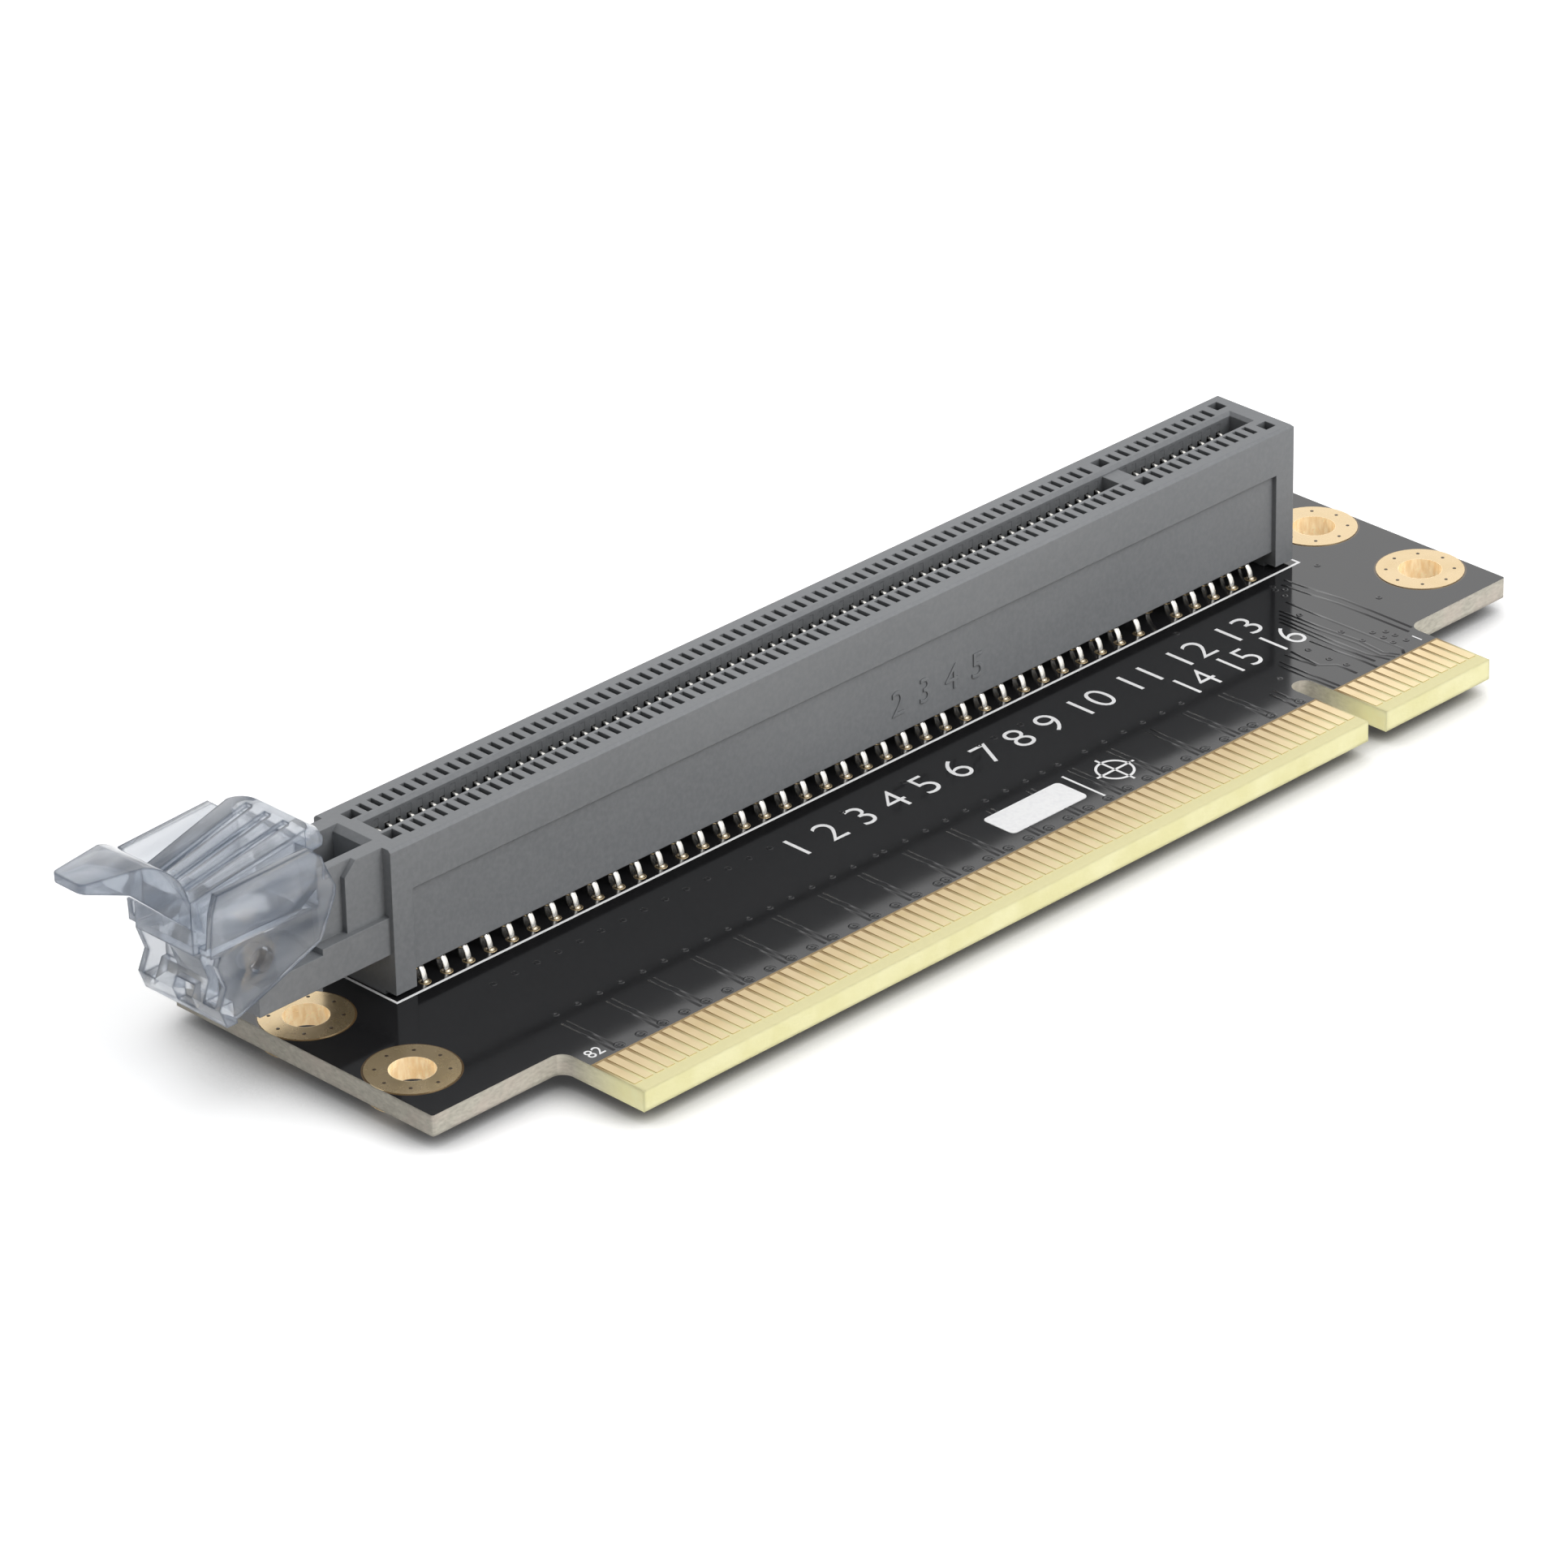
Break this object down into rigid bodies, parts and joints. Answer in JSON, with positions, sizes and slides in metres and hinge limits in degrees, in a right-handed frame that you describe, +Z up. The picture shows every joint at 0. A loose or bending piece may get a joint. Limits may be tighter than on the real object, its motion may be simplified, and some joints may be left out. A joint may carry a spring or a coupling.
{
  "type": "pcie riser card",
  "caption": "Riser card: a flat circuit board with an edge connector along one side and an upright card slot whose hinged clear latch locks the plugged-in card",
  "frame": {"origin": "middle of the rectangle of the four mounting holes, on the underside of the board", "axes": "+X along the slot, away from the latch; +Y toward the board's plain back edge, so the edge connector points to -Y; +Z up out of the slot's mouth"},
  "size_m": [0.1222, 0.0331, 0.0202],
  "materials": {
    "board": "black solder mask over glass-fibre laminate, pale bare edges",
    "gold_plating": "thin gold plating on copper",
    "slot_plastic": "grey glass-filled moulding, satin",
    "clear_plastic": "smoky clear moulding",
    "contact_metal": "stamped copper alloy, gold at the bump and tin on the tail"
  },
  "bodies": {
    "card": {"circuit_board": "board", "mounting_lands": "gold_plating", "slot_housing": "slot_plastic", "front_outer_short_contacts": "contact_metal", "front_outer_long_contacts": "contact_metal", "front_inner_short_contacts": "contact_metal", "front_inner_long_contacts": "contact_metal", "back_outer_short_contacts": "contact_metal", "back_outer_long_contacts": "contact_metal", "back_inner_short_contacts": "contact_metal", "back_inner_long_contacts": "contact_metal", "top_short_edge_fingers": "gold_plating", "top_long_edge_fingers": "gold_plating", "bottom_short_edge_fingers": "gold_plating", "bottom_long_edge_fingers": "gold_plating"},
    "latch": {"retention_latch": "clear_plastic"}
  },
  "joints": [
    {"name": "latch_pivot", "type": "hinge", "parent": "card", "child": "latch", "pos_m": [-0.05595, 0.0061, 0.0093], "axis": [0, -1, 0], "range_deg": [0, 28]}
  ]
}
